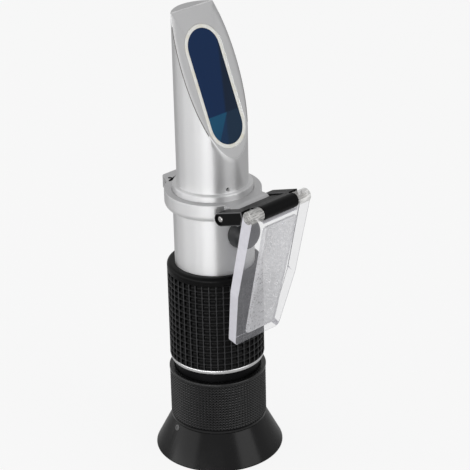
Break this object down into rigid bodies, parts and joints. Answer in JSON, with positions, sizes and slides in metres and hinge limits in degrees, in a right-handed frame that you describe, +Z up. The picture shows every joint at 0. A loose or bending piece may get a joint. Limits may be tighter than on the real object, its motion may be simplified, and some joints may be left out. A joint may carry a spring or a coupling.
{
  "type": "handheld refractometer",
  "caption": "Tubular optical refractometer with a slanted prism head, a clear daylight plate on a double hinge, a knurled grip, a focus ring and a soft eyecup.",
  "frame": {"origin": "on the optical axis in the plane of the eyecup's rim, on which the instrument stands", "axes": "+Z up the optical axis towards the prism head; -Y the front, where the prism face and the daylight plate are; +X to the right of someone who faces the front"},
  "size_m": [0.0428, 0.0526, 0.1525],
  "materials": {
    "eyecup_rubber": "soft black rubber, satin",
    "grip_rubber": "black rubber, square knurl",
    "black_plastic": "black moulded plastic, fine grain",
    "black_anodised": "black anodised, turned",
    "satin_aluminium": "satin anodised",
    "optical_glass": "polished",
    "prism_glass": "polished, dark blue coating behind",
    "sealant": "cream white sealant",
    "clear_acrylic": "clear acrylic with a frosted pad",
    "steel": "bright steel",
    "brass": "plain brass"
  },
  "bodies": {
    "housing": {"barrel": "satin_aluminium", "key_pin": "steel", "neck_sleeve": "black_anodised", "trim_ring": "satin_aluminium", "grip_sleeve": "grip_rubber", "reticle_holder": "black_anodised", "reticle_disc": "optical_glass", "reticle_nut": "black_anodised", "strip_bracket": "brass", "bracket_screws": "steel", "calibration_bush": "brass", "collar": "satin_aluminium", "prism_head": "satin_aluminium", "head_seal": "eyecup_rubber", "measuring_prism": "prism_glass", "prism_sealant": "sealant", "head_grub_screw": "steel"},
    "link": {"hinge_link": "black_plastic", "link_pin": "steel", "plate_pin": "steel"},
    "plate": {"daylight_plate": "clear_acrylic"},
    "lens_carriage": {"lens_tube": "black_anodised", "tube_circlip": "steel", "eye_lens_retainer": "black_anodised", "eye_lens": "optical_glass", "lens_spacer": "black_anodised", "field_lens": "optical_glass", "field_lens_retainer": "black_anodised"},
    "focus_grip": {"focus_ring": "black_plastic", "eyecup": "eyecup_rubber"},
    "screw_cap": {"calibration_cap": "eyecup_rubber"},
    "adjuster": {"calibration_screw": "steel"},
    "compensator": {"bimetal_strip": "brass", "objective_cell": "black_anodised", "objective_lens": "optical_glass", "objective_retainer": "black_anodised"}
  },
  "joints": [
    {"name": "link_swing", "type": "hinge", "parent": "housing", "child": "link", "pos_m": [0, -0.01575, 0.0911], "axis": [-1, 0, 0], "range_deg": [0, 71.4]},
    {"name": "plate_swing", "type": "hinge", "parent": "link", "child": "plate", "pos_m": [0, -0.02888, 0.09552], "axis": [-1, 0, 0], "range_deg": [0, 144.72]},
    {"name": "focus_slide", "type": "slide", "parent": "housing", "child": "lens_carriage", "axis": [0, 0, -1], "range_m": [0, 0.00401]},
    {"name": "focus_turn", "type": "hinge", "parent": "lens_carriage", "child": "focus_grip", "pos_m": [0, 0, 0.021], "axis": [0, 0, 1], "range_deg": [0, 240]},
    {"name": "cap_pull", "type": "slide", "parent": "housing", "child": "screw_cap", "axis": [0, -1, 0], "range_m": [0, 0.003]},
    {"name": "calibration_turn", "type": "hinge", "parent": "housing", "child": "adjuster", "pos_m": [0, 0, 0.08196], "axis": [0, -1, 0], "range_deg": [-360, 360]},
    {"name": "compensator_tilt", "type": "hinge", "parent": "housing", "child": "compensator", "pos_m": [0, -0.0096, 0.06156], "axis": [1, 0, 0], "range_deg": [-1.2, 1.2], "stiffness_Nm_per_rad": 0.2}
  ],
  "couplings": [
    {"joint": "focus_slide", "follows": "focus_turn", "m_per_rad": 0.00095493}
  ]
}
